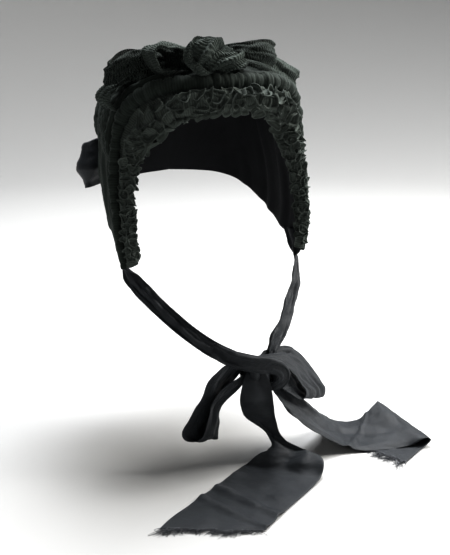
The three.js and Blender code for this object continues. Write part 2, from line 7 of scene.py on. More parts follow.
import bpy
import numpy as np
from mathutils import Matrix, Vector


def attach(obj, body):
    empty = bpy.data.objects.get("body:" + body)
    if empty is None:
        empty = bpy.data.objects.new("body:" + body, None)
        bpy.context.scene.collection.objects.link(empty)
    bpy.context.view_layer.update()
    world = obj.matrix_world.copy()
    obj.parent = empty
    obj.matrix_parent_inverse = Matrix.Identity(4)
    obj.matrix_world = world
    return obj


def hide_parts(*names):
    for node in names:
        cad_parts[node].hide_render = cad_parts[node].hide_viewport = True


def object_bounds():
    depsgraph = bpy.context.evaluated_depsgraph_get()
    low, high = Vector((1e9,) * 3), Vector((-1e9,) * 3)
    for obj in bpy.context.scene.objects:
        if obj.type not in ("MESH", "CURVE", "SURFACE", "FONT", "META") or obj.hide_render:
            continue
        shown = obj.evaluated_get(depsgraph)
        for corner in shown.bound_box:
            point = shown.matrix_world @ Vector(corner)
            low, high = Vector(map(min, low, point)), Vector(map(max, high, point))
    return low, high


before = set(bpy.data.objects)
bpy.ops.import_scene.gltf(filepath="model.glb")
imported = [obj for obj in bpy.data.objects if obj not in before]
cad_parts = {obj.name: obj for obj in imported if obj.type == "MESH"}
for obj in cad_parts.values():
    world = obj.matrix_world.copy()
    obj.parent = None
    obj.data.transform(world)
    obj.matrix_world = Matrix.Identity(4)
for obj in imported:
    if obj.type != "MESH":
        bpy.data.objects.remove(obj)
frameBox = [list(corner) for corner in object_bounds()]
bpy.ops.object.select_all(action="DESELECT")
print("frame loaded")

# camera

view = dict(place=(-0.302, -0.7106, 0.037), down=15, turn=-24, lens=60.97)
bpy.ops.object.camera_add(
    location=view["place"], rotation=(math.radians(90 - view["down"]), 0, math.radians(view["turn"]))
)
camera = bpy.context.object
camera.data.lens = view["lens"]
camera.data.clip_end = 20
bpy.context.scene.camera = camera

# measures that the pieces share, as in the frame

bonnet = dict(
    halfWidth=0.084,  # centre plane to the middle of the roll
    drop=0.150,  # inside top of the cap to its jaw corners
    depth=0.130,  # front of the roll to the dome
    reach=0.155,  # jaw corners to the surface below
    roll=0.0145,  # roll's diameter on top
    ruche=0.017,  # ruche's diameter on top
    focus=0.6,  # middle of the face opening, as a share of drop
    capWall=0.002,
    ribbon=0.0635,  # silk ribbon's width
    crape=0.0635,  # width of the bow's crape bands
    ribs=0.002,  # from rib to rib of the pleated crape
)
surface = frameBox[0][2]


def place(x, y, z):
    # shares to metres; below -1 z counts in reach
    below = np.minimum(z + 1, 0)
    height = (z - below) * bonnet["drop"] + below * bonnet["reach"]
    return np.stack([x * bonnet["halfWidth"], y * bonnet["depth"], height], axis=-1)


# curves and waves


def through(rows, t):
    # a smooth curve through the rows of a table, read at shares t of its length
    rows = np.asarray(rows, float)
    count = len(rows)
    at = np.clip(t, 0, 1) * (count - 1)
    i = np.minimum(at.astype(int), count - 2)
    f = (at - i)[:, None]
    ahead = np.vstack([2 * rows[0] - rows[1], rows, 2 * rows[-1] - rows[-2]])
    a, b, c, d = ahead[i], ahead[i + 1], ahead[i + 2], ahead[i + 3]
    return b + 0.5 * f * (c - a + f * (2 * a - 5 * b + 4 * c - d + f * (3 * b - a - 3 * c + d)))


def evenly(rows, count):
    # shares of the table's length that lie at even distances along its place columns
    t = np.linspace(0, 1, 600)
    points = place(*through(rows, t)[:, :3].T)
    run = np.concatenate([[0], np.cumsum(np.linalg.norm(np.diff(points, axis=0), axis=1))])
    return np.interp(np.linspace(0, run[-1], count), run, t), run[-1]


def unit(vectors):
    return vectors / np.maximum(np.linalg.norm(vectors, axis=-1, keepdims=True), 1e-9)


def ripple(u, v, size, seed, parts=9):
    # smooth wandering waves of about the given size, from -1 to 1
    draw = np.random.default_rng(seed)
    total = np.zeros(np.broadcast(u, v).shape)
    for _ in range(parts):
        turn = draw.uniform(0, math.tau)
        pitch = size * draw.uniform(0.6, 1.7)
        shift = draw.uniform(0, math.tau)
        total += np.sin((u * math.cos(turn) + v * math.sin(turn)) * math.tau / pitch + shift)
    return total / math.sqrt(parts) / 1.3


def normalsOf(grid):
    return unit(np.cross(np.gradient(grid, axis=0), np.gradient(grid, axis=1)))


# meshes


def finishMesh(name, points, faces, uvs, material, faceMaterial=None):
    mesh = bpy.data.meshes.new(name)
    mesh.vertices.add(len(points))
    mesh.vertices.foreach_set("co", np.asarray(points, np.float32).ravel())
    mesh.loops.add(faces.size)
    mesh.loops.foreach_set("vertex_index", faces.ravel().astype(np.int32))
    mesh.polygons.add(len(faces))
    mesh.polygons.foreach_set("loop_start", np.arange(len(faces), dtype=np.int32) * faces.shape[1])
    mesh.polygons.foreach_set("use_smooth", np.ones(len(faces), bool))
    layer = mesh.uv_layers.new(name="cloth")
    layer.data.foreach_set("uv", np.asarray(uvs, np.float32)[faces.ravel()].ravel())
    for one in material if isinstance(material, (list, tuple)) else [material]:
        mesh.materials.append(one)
    if faceMaterial is not None:
        mesh.polygons.foreach_set("material_index", faceMaterial.astype(np.int32))
    mesh.update(calc_edges=True)
    mesh.validate()
    piece = bpy.data.objects.new(name, mesh)
    bpy.context.scene.collection.objects.link(piece)
    return piece


def gridFaces(rows, columns, start=0, flip=False, closed=False):
    # four-sided faces over rows of points; closed joins each row's last point to its first
    i = np.arange(rows - 1)
    j = np.arange(columns if closed else columns - 1)
    i, j = (part.ravel() for part in np.meshgrid(i, j, indexing="ij"))
    iNext, jNext = i + 1, (j + 1) % columns
    ring = [i * columns + j, i * columns + jNext, iNext * columns + jNext, iNext * columns + j]
    if flip:
        ring.reverse()
    return np.stack(ring, axis=1) + start


def sheetParts(grid, wall, u, v):
    # both faces and the rim of a cloth over a grid of points
    rows, columns = grid.shape[:2]
    normal = normalsOf(grid)
    upper = grid + normal * wall / 2
    lower = grid - normal * wall / 2
    many = rows * columns
    faces = [gridFaces(rows, columns), gridFaces(rows, columns, many, flip=True)]
    rim = np.concatenate(
        [
            np.arange(columns),
            np.arange(1, rows) * columns + columns - 1,
            (rows - 1) * columns + np.arange(columns - 2, -1, -1),
            np.arange(rows - 2, 0, -1) * columns,
        ]
    )
    ahead = np.roll(rim, -1)
    faces.append(np.stack([rim, rim + many, ahead + many, ahead], axis=1))
    points = np.concatenate([upper.reshape(-1, 3), lower.reshape(-1, 3)])
    uv = np.stack(np.broadcast_arrays(u, v), axis=-1).reshape(-1, 2)
    return points, np.concatenate(faces), np.concatenate([uv, uv])


def tubeParts(rings, u, v):
    # a closed tube over rings of points, its ends filled across
    rows, around = rings.shape[:2]
    j = np.arange(around // 2 - 1)
    end = (rows - 1) * around
    first = np.stack([j + 1, j, around - 1 - j, around - 2 - j], axis=1)
    last = np.stack([j, j + 1, around - 2 - j, around - 1 - j], axis=1) + end
    faces = np.concatenate([gridFaces(rows, around, closed=True), first, last])
    uv = np.stack(np.broadcast_arrays(u, v), axis=-1).reshape(-1, 2)
    return rings.reshape(-1, 3), faces, uv


def join(parts):
    # several parts as one set of points, faces and places on the cloth
    points, faces, uvs, count = [], [], [], 0
    for p, f, w in parts:
        points.append(p)
        faces.append(f + count)
        uvs.append(w)
        count += len(p)
    return np.concatenate(points), np.concatenate(faces), np.concatenate(uvs)


def tidyMesh(piece):
    # drops faces without area and turns the others outwards
    bpy.ops.object.select_all(action="DESELECT")
    bpy.context.view_layer.objects.active = piece
    piece.select_set(True)
    bpy.ops.object.mode_set(mode="EDIT")
    bpy.ops.mesh.select_all(action="SELECT")
    bpy.ops.mesh.dissolve_degenerate(threshold=1e-7)
    bpy.ops.mesh.normals_make_consistent(inside=False)
    bpy.ops.object.mode_set(mode="OBJECT")
    piece.select_set(False)


def settle(piece, slot, *nodes):
    # puts a finished piece in the place of the frame's plain ones
    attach(piece, "root")
    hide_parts(*nodes)
    print(piece.name, len(piece.data.polygons), "faces")


# shader maths


class Wire:
    # a socket's output that takes part in sums and products
    def __init__(self, shader, socket):
        self.shader = shader
        self.socket = socket

    def math(self, operation, a, b=0.0):
        return self.shader.node("Math", dict(operation=operation), {0: a, 1: b})

    def __add__(self, other):
        return self.math("ADD", self, other)

    def __radd__(self, other):
        return self.math("ADD", other, self)

    def __sub__(self, other):
        return self.math("SUBTRACT", self, other)

    def __rsub__(self, other):
        return self.math("SUBTRACT", other, self)

    def __mul__(self, other):
        return self.math("MULTIPLY", self, other)

    def __rmul__(self, other):
        return self.math("MULTIPLY", other, self)

    def sine(self):
        return self.math("SINE", self)


class Shader:
    def __init__(self, name):
        self.material = bpy.data.materials.new(name)
        self.material.use_nodes = True
        self.tree = self.material.node_tree
        self.surface = self.tree.nodes["Principled BSDF"]

    def node(self, kind, settings=None, sockets=None, out=0):
        made = self.tree.nodes.new("ShaderNode" + kind)
        for key, value in (settings or {}).items():
            setattr(made, key, value)
        for key, value in (sockets or {}).items():
            if isinstance(value, Wire):
                self.tree.links.new(value.socket, made.inputs[key])
            else:
                made.inputs[key].default_value = value
        return Wire(self, made.outputs[out])

    def blend(self, share, a, b):
        return self.node("Mix", dict(data_type="RGBA"), {0: share, 6: a, 7: b}, out=2)

    def feed(self, **values):
        for key, value in values.items():
            socket = self.surface.inputs[key.replace("_", " ")]
            if isinstance(value, Wire):
                self.tree.links.new(value.socket, socket)
            else:
                socket.default_value = value


def crapeCloth(name, look):
    # dull crinkled silk gauze; cloth places are in metres, u across and v along
    shader = Shader(name)
    cloth = shader.node("TexCoord", out=2)
    apart = shader.node("SeparateXYZ", sockets={0: cloth})
    along = Wire(shader, apart.socket.node.outputs[1])
    stretched = shader.node("Mapping", sockets={0: cloth, "Scale": (look["across"], look["along"], 1)})
    crinkle = shader.node(
        "TexNoise", sockets={"Vector": stretched, "Scale": 1, "Detail": 5, "Roughness": 0.62}
    )
    threads = shader.node(
        "TexNoise", sockets={"Vector": cloth, "Scale": look["threads"], "Detail": 2, "Roughness": 0.6}
    )
    blotch = shader.node("TexNoise", sockets={"Vector": cloth, "Scale": look["blotches"], "Detail": 3})
    rib = ((along + crinkle * look["wander"]) * (math.tau / look["pitch"])).sine() * 0.5 + 0.5
    relief = crinkle * 0.8 + rib * look["ribs"] + threads * 0.16
    tone = crinkle * 0.5 + rib * 0.3 + threads * 0.15
    colour = shader.blend(tone, look["dark"], look["light"])
    faded = shader.blend(blotch * 0.35, colour, look["faded"])
    bump = shader.node("Bump", sockets={"Strength": look["bump"], "Distance": 0.0006, "Height": relief})
    shader.feed(
        Base_Color=faded,
        Roughness=0.72 + crinkle * 0.22,
        Normal=bump,
        Sheen_Weight=look["sheen"],
        Sheen_Roughness=0.5,
        Sheen_Tint=(0.62, 0.72, 0.68, 1),
        Specular_IOR_Level=look["gloss"],
    )
    if look["sheer"]:
        shader.feed(Alpha=1 - (1 - rib) * (1 - crinkle) * look["sheer"])
    shader.material.diffuse_color = look["light"]
    return shader.material


def silkCloth(name, look):
    # ribbon silk with fine cross ribs and a soft sheen
    shader = Shader(name)
    cloth = shader.node("TexCoord", out=2)
    across = shader.node("SeparateXYZ", sockets={0: cloth})
    along = Wire(shader, across.socket.node.outputs[1])
    drawn = shader.node("Mapping", sockets={0: cloth, "Scale": look["slubs"]})
    slub = shader.node("TexNoise", sockets={"Vector": drawn, "Scale": 1})
    cloud = shader.node(
        "TexNoise", sockets={"Vector": cloth, "Scale": look["clouds"], "Detail": 4, "Roughness": 0.6}
    )
    rib = (along * (math.tau / look["pitch"])).sine()
    warp = (across * (math.tau / look["warp"])).sine()
    relief = rib * 0.5 + warp * 0.25 + slub * 1.1
    colour = shader.blend(cloud * 0.6 + slub * 0.4, look["dark"], look["light"])
    bump = shader.node("Bump", sockets={"Strength": look["bump"], "Distance": 0.0002, "Height": relief})
    shader.feed(
        Base_Color=colour,
        Roughness=look["rough"] + cloud * 0.14 + slub * 0.06,
        Normal=bump,
        Sheen_Weight=look["sheen"],
        Sheen_Roughness=0.35,
        Sheen_Tint=(0.75, 0.8, 0.9, 1),
        Specular_IOR_Level=look["gloss"],
    )
    shader.material.diffuse_color = look["light"]
    return shader.material


crapeLook = dict(
    dark=(0.002, 0.003, 0.0025, 1),
    light=(0.028, 0.038, 0.032, 1),
    faded=(0.03, 0.034, 0.028, 1),
    across=420,  # crinkles to a metre across and along the cloth
    along=1500,
    threads=2600,
    blotches=38,
    wander=0.0011,
    pitch=bonnet["ribs"],
    ribs=0.12,
    bump=0.75,
    sheen=0.12,
    gloss=0.12,
    sheer=0,
)
crape = crapeCloth("crape", crapeLook)
# the bow's crape is the same cloth with stronger ribs; its lighter colour is painted light standing in for
# the light on the bow
ribbedCrapePaintedLight = crapeCloth(
    "ribbed crape with painted light", {**crapeLook, "ribs": 1.5, "bump": 1.0, "light": (0.075, 0.094, 0.082, 1)}
)
# the ruche's crape is the same cloth as the rest; its raised light and faded colours are painted light on
# the lit rims of its loops
rucheCrapePaintedLight = crapeCloth(
    "ruche crape with painted light", {**crapeLook, "light": (0.115, 0.135, 0.12, 1), "faded": (0.08, 0.092, 0.08, 1)}
)
sheerCrape = crapeCloth("sheer crape", {**crapeLook, "ribs": 1.3, "bump": 1.0, "sheer": 0.75})
silkLook = dict(
    dark=(0.0055, 0.0063, 0.0072, 1),
    light=(0.036, 0.041, 0.047, 1),
    pitch=0.00055,
    warp=0.0004,
    slubs=(70, 900, 1),
    clouds=60,
    bump=0.35,
    rough=0.38,
    sheen=0.05,
    gloss=0.22,
)
silk = silkCloth("ribbon silk", silkLook)
# the loose threads are the same silk; their paler colour is painted light caught along the frayed ends
frayed = silkCloth(
    "frayed threads", {**silkLook, "light": (0.085, 0.09, 0.1, 1), "rough": 0.6, "sheen": 0.3}
)
lining = silkCloth(
    "lining", {**silkLook, "light": (0.022, 0.023, 0.026, 1), "rough": 0.6, "sheen": 0.03, "gloss": 0.15}
)
print("cloths mixed")

# the front arch: x, y, z, roll, ruche, inward, forward

archRows = [
    (0, -0.323, -0.033, 1, 0.9, 0.76, 0.5),
    (0.36, -0.292, -0.037, 1, 1.02, 0.86, 0.5),
    (0.62, -0.215, -0.06, 0.97, 1.24, 1.02, 0.5),
    (0.8, -0.115, -0.12, 0.9, 1.42, 1.15, 0.55),
    (0.9, -0.046, -0.213, 0.78, 1.3, 1.1, 0.55),
    (0.955, -0.031, -0.32, 0.66, 0.95, 0.82, 0.5),
    (0.98, -0.031, -0.467, 0.62, 0.66, 0.55, 0.42),
    (1, -0.054, -0.6, 0.6, 0.52, 0.44, 0.38),
    (1, -0.085, -0.733, 0.56, 0.48, 0.42, 0.36),
    (0.985, -0.108, -0.867, 0.5, 0.42, 0.4, 0.32),
    (0.95, -0.115, -1, 0.42, 0.36, 0.36, 0.28),
]
wholeArch = np.array([(-row[0], *row[1:]) for row in archRows[:0:-1]] + archRows)


def archFrame(t):
    # centre of the roll and, square to it, the ways outwards and forwards
    centre = place(*through(wholeArch, t)[:, :3].T)
    along = unit(np.gradient(centre, axis=0))
    outward = centre * (1, 0, 1) + np.array([0, 0, bonnet["drop"] * bonnet["focus"]])
    outward = unit(outward - along * (outward * along).sum(axis=1, keepdims=True))
    forward = np.cross(along, outward)
    forward *= np.where(forward[:, 1:2] > 0, -1, 1)
    return centre, along, outward, forward


# front roll

rollMake = dict(
    rings=640,
    sides=38,
    nearest=0.0062,  # from gather to gather
    furthest=0.0122,
    short=0.15,  # share of the steps that are cut to shortened
    shortened=0.6,
    puff=0.0021,
    overlap=0.97,
    sunk=0.75,  # how far the gathers go in, as a share of puff
    slant=0.0014,
    twist=0.0012,
    swell=0.0006,
    swellSize=0.02,
    wrinkle=0.0003,
    wrinkleSize=0.0085,
    seed=11,
)


def frontRoll(make):
    draw = np.random.default_rng(make["seed"])
    t, length = evenly(wholeArch, make["rings"])
    centre, _, outward, forward = archFrame(t)
    radius = through(wholeArch, t)[:, 3] * bonnet["roll"] / 2
    run = np.linspace(0, length, make["rings"])
    turn = np.arange(make["sides"]) / make["sides"] * math.tau
    s, a = run[:, None], turn[None, :]
    relief = ripple(s, np.sin(a) * 0.006, make["swellSize"], make["seed"]) * make["swell"]
    # soft puffs between gathers that run slanting round the roll
    at = -0.01
    while at < length + 0.01:
        step = draw.uniform(make["nearest"], make["furthest"])
        step = step * (1 if draw.random() > make["short"] else make["shortened"])
        lean, side = draw.uniform(-1, 1) * make["slant"], draw.uniform(0, math.tau)
        f = (s - at - lean * np.sin(a + side) - make["twist"] * np.sin(a + 0.6)) / step
        inside = np.clip(4 * f * (1 - f), 0, 1)
        high = make["puff"] * (step / make["furthest"]) ** 0.7 * draw.uniform(0.75, 1.2)
        relief = np.maximum(relief, relief + high * inside**0.6)
        at += step * make["overlap"]
    relief = relief - make["puff"] * make["sunk"]
    slanted = s * 3.2 + 0.004 * np.sin(a)
    drawn = ripple(slanted, np.cos(a) * 0.004, make["wrinkleSize"], make["seed"] + 1, 14)
    relief = relief + drawn * make["wrinkle"]
    scale = (radius / radius.max())[:, None] ** 0.6
    reach = radius[:, None] + relief * scale
    rings = (
        centre[:, None]
        + (np.cos(a) * reach)[..., None] * outward[:, None]
        + (np.sin(a) * reach)[..., None] * forward[:, None]
    )
    u = a * radius[:, None]
    piece = finishMesh("frontRoll", *tubeParts(rings, u, s + 0 * a), crape)
    tidyMesh(piece)
    settle(piece, "crape", "front_roll")


frontRoll(rollMake)

# face ruche: a pinched core with open, leaf-shaped loops of crape standing close together on it

rucheMake = dict(
    samples=420,
    sides=26,
    core=0.86,  # as a share of the ruche's radius
    fuller=0.65,  # what the core gains where the ruche is thin
    pinch=0.0098,
    pinchDepth=0.0014,
    loopWidth=0.0128,
    loopHeight=0.0158,
    loopDepth=0.0058,
    spacing=0.0098,
    rows=((0.75, 0.0), (1.6, 0.5), (2.55, 0.15)),  # angle on the core, and start as a share of spacing
    sunk=0.0036,
    least=0.42,  # smallest loops, where the ruche is thinnest, and what they gain towards its thickest
    gain=0.58,
    sizes=(0.75, 1.15),
    depths=(0.8, 1.15),
    steps=(0.8, 1.25),
    turned=1.1,
    leans=(0.8, 0.5),  # along the arch and across it
    sway=0.2,
    wall=0.0005,
    strip=5,
    around=26,
    rise=8,
    seed=23,
)


def leafLoop(make, draw, size, at, along, up):
    # one loop: a cone of cloth from a pinch on the core to an open, leaf-shaped rim
    side = np.cross(up, along)
    turned = draw.uniform(-make["turned"], make["turned"])
    leanAlong, leanAcross = make["leans"]
    tilt = up + along * draw.uniform(-leanAlong, leanAlong) + side * draw.uniform(-leanAcross, leanAcross)
    tilt = tilt / np.linalg.norm(tilt)
    east = unit(along * math.cos(turned) + side * math.sin(turned))
    east = unit(east - tilt * (east @ tilt))
    north = np.cross(tilt, east)
    wide = make["loopWidth"] / 2 * size * draw.uniform(*make["sizes"])
    tall = make["loopHeight"] / 2 * size * draw.uniform(*make["sizes"])
    deep = make["loopDepth"] * size * draw.uniform(*make["depths"])
    lobe = draw.uniform(0, math.tau)
    a = np.arange(make["around"])[None] / make["around"] * math.tau
    rise = np.linspace(0.08, 1, make["rise"])[:, None]
    # outer face from the pinch to the rim, then the inner one back again
    share = np.vstack([rise, rise[::-1]])
    inner = np.vstack([np.zeros_like(rise), np.ones_like(rise)])
    rim = 1 + 0.1 * np.sin(3 * a + lobe) + 0.06 * np.sin(5 * a - lobe)
    spread = share**0.75 * rim
    x = wide * spread * np.cos(a) * (1 - 0.45 * np.sin(a))
    y = tall * spread * (np.sin(a) + 0.14 * np.sin(2 * a + lobe))
    z = deep * (share**1.25 + 0.16 * share * np.cos(2 * a + lobe) + 0.09 * share**2 * np.sin(3 * a + lobe))
    reach = np.sqrt(x**2 + y**2) + 1e-6
    inset = inner * make["wall"] / reach
    x, y = x * (1 - inset), y * (1 - inset)
    z = z + inner * make["wall"] * 0.35 * (1 - share)
    rings = at + x[..., None] * east + y[..., None] * north + z[..., None] * tilt
    return tubeParts(rings, a * wide, share * deep + 0 * a)


def faceRuche(make):
    draw = np.random.default_rng(make["seed"])
    t, length = evenly(wholeArch, make["samples"])
    centre, along, outward, forward = archFrame(t)
    seam = centre.copy()
    columns = through(wholeArch, t)
    radius = columns[:, 4] * bonnet["ruche"] / 2
    inward = centre * (-1, 0, -1) - np.array([0, 0, bonnet["drop"] * bonnet["focus"]])
    centre = centre + unit(inward) * columns[:, 5:6] * bonnet["ruche"]
    centre[:, 1] -= columns[:, 6] * bonnet["ruche"]
    run = np.linspace(0, length, make["samples"])
    turn = np.arange(make["sides"]) / make["sides"] * math.tau
    s, a = run[:, None], turn[None]
    zigzag = np.abs(np.sin(s * math.pi / make["pinch"] + 1.6 * np.sin(a * 1.5)))
    fall = (1 - zigzag) ** 3 * make["pinchDepth"]
    fine = 0.00035 * ripple(s * 1.8, a * 0.004, 0.006, make["seed"])
    scale = (radius / radius.max())[:, None]
    core = radius * (make["core"] + make["fuller"] * (1 - radius / radius.max()))
    reach = core[:, None] + (fine - fall) * scale**0.5
    rings = (
        centre[:, None]
        + (np.cos(a) * reach)[..., None] * outward[:, None]
        + (np.sin(a) * reach)[..., None] * forward[:, None]
    )
    # a strip of the same cloth holds the core against the roll
    share = np.linspace(0, 0.9, make["strip"])[None, :, None]
    strip = seam[:, None] * (1 - share) + centre[:, None] * share
    parts = [
        tubeParts(rings, a * radius[:, None], s + 0 * a),
        sheetParts(strip, make["wall"], share[..., 0] * 0.01, s),
    ]
    for angle, phase in make["rows"]:
        reached = make["spacing"] * (0.4 + phase)
        while reached < length - 0.004:
            i = int(reached / length * (make["samples"] - 1))
            share = radius[i] / radius.max()
            size = make["least"] + make["gain"] * share
            bend = angle + draw.uniform(-make["sway"], make["sway"])
            up = math.cos(bend) * outward[i] + math.sin(bend) * forward[i]
            foot = centre[i] + up * (core[i] - make["sunk"] * size)
            parts.append(leafLoop(make, draw, size, foot, along[i], up))
            reached += make["spacing"] * size * draw.uniform(*make["steps"])
    # the ruche's loops take the crape with painted light
    piece = finishMesh("faceRuche", *join(parts), rucheCrapePaintedLight)
    tidyMesh(piece)
    settle(piece, "crape", "face_ruche")


faceRuche(rucheMake)

# cap: depth, lean, width, top, bottom from the rim to the nape

capRows = [
    (0.015, 1, 0.985, -0.035, -0.99),
    (0.07, 0.98, 0.985, -0.03, -0.985),
    (0.17, 0.8, 0.98, -0.008, -0.93),
    (0.33, 0.55, 0.945, 0, -0.84),
    (0.48, 0.3, 0.89, -0.035, -0.75),
    (0.6, 0.1, 0.78, -0.13, -0.68),
    (0.68, 0, 0.6, -0.27, -0.64),
    (0.71, 0, 0.35, -0.43, -0.62),
    (0.72, 0, 0.003, -0.604, -0.606),
]


def capPoints(back, side):
    # middle surface of the cap at shares back from the rim and side from corner to corner
    arch = through(wholeArch, side)[None, :, :3]
    depth, lean, width, top, bottom = (column[:, None] for column in through(capRows, back).T)
    fall = (arch[..., 2] - archRows[0][2]) / (archRows[-1][2] - archRows[0][2])
    points = place(arch[..., 0] * width, depth + arch[..., 1] * lean, top + fall * (bottom - top))
    points[..., 2] += bonnet["capWall"] / 2
    return points


capMake = dict(
    back=84,
    side=150,
    girth=0.46,
    ease=0.0006,
    lump=0.03,
    fold=0.017,
    plainFrom=0.8,  # share of the way back where the folds have ended
    plainOver=0.3,
    seed=31,
)


def crownShell(make):
    back, side = np.linspace(0, 1, make["back"]), np.linspace(0, 1, make["side"])
    grid = capPoints(back, side)
    normal = normalsOf(grid)
    wide = np.linalg.norm(grid - grid[:, :1], axis=2)
    deep = np.cumsum(np.linalg.norm(np.gradient(grid, axis=0), axis=2), axis=0)
    # lumps and soft folds, which fade out towards the nape
    folds = ripple(wide * 0.25, deep * 1.3, make["fold"], make["seed"] + 1)
    even = np.clip((make["plainFrom"] - back) / make["plainOver"], 0, 1)[:, None]
    rise = ripple(wide, deep, make["lump"], make["seed"]) * even + 2 * folds * even
    grid = grid + normal * (rise * make["ease"])[..., None]
    points, faces, uvs = sheetParts(grid, bonnet["capWall"], side[None] * make["girth"], deep)
    # the face nearer to the middle of the cap's hollow gets the lining
    many = (make["back"] - 1) * (make["side"] - 1)
    inner = np.zeros(len(faces), int)
    middle = points[faces[:many]].mean(axis=1)
    other = points[faces[many : 2 * many]].mean(axis=1)
    heart = np.array([0, 0.03, -0.08])
    nearer = np.linalg.norm(middle - heart, axis=1).mean() < np.linalg.norm(other - heart, axis=1).mean()
    inner[:many] = 1 if nearer else 0
    inner[many : 2 * many] = 0 if nearer else 1
    piece = finishMesh("crownShell", points, faces, uvs, [crape, lining], inner)
    tidyMesh(piece)
    settle(piece, "crape", "crown_shell")


crownShell(capMake)

# crown drape: puffs between seams, gathered from front to back

puffMake = dict(
    start=0.1,  # from the rim towards the nape
    stop=0.66,
    low=0.2,  # from corner to corner
    high=0.8,
    puffs=5,
    back=140,
    side=204,
    height=0.0046,
    gather=0.0052,
    gatherDepth=0.0011,
    wander=0.045,
    least=0.0015,
    wall=0.0008,
    clearance=0.0003,
    seed=41,
)


def crownPuffs(make):
    back = np.linspace(make["start"], make["stop"], make["back"])
    side = np.linspace(make["low"], make["high"], make["side"])
    grid = capPoints(back, side)
    normal = -normalsOf(grid)
    middle = grid.mean(axis=(0, 1)) - np.array([0, 0.02, 0.08])
    if ((grid - middle) * normal).sum() < 0:
        normal = -normal
    share = np.linspace(0, 1, make["back"])[:, None]
    wide = np.cumsum(np.linalg.norm(np.gradient(grid, axis=1), axis=2), axis=1)
    deep = np.cumsum(np.linalg.norm(np.gradient(grid, axis=0), axis=2), axis=0)
    wander = make["wander"] * ripple(wide, deep, 0.05, make["seed"])
    puff = np.abs(np.sin((share + wander * share * (1 - share)) * make["puffs"] * math.pi)) ** 0.7
    bent = wide + 0.0022 * ripple(wide, deep, 0.014, make["seed"] + 1)
    bent = bent + 0.0016 * np.round(share * make["puffs"]) * 1.7
    gather = np.abs(np.sin(bent * math.pi / make["gather"]))
    strength = 0.35 + 0.65 * (1 - puff)
    rise = (bonnet["capWall"] + make["wall"]) / 2 + make["clearance"]
    sideShare = np.linspace(0, 1, make["side"])[None]
    edge = np.clip(np.minimum(sideShare, 1 - sideShare) / 0.07, 0, 1) ** 0.6
    edge = edge * np.clip(share / 0.03, 0, 1) ** 0.6
    uneven = 0.85 + 0.25 * ripple(wide, deep, 0.03, make["seed"] + 2)
    rise = rise + edge * make["height"] * puff * uneven
    fine = 0.0003 * ripple(wide, deep, 0.006, make["seed"] + 3)
    rise = rise + make["gatherDepth"] * strength * gather + fine
    grid = grid + normal * np.maximum(rise, make["least"])[..., None]
    piece = finishMesh("crownPuffs", *sheetParts(grid, make["wall"], wide, deep), crape)
    tidyMesh(piece)
    settle(piece, "crape", "crown_puffs")


crownPuffs(puffMake)

# bands and ribbons: x, y, z, then the way across, then the half width as a share of the full width

plainBand = dict(
    held="folded",
    on=(),
    behind=0,  # how much of what is too wide is turned behind at the sides
    thick=0.0016,  # room for what is turned behind
    drift=0.05,
    shift=1.1,
    uneven=0.35,
    crumple=0.0008,
    crumpleSize=0.018,
    crease=0.00025,
    creaseSize=0.012,
    ribs=0,
    ribWander=0.0007,
    ridges=(),  # share of the length, spread, height, skew
    mounds=(),  # share of the length, share across, spread, width, height
    belly=0,
    end=0,  # how ragged the last edge is
    endReach=0.006,
    lies=False,
    ease=0.0012,
    fringe=None,
)


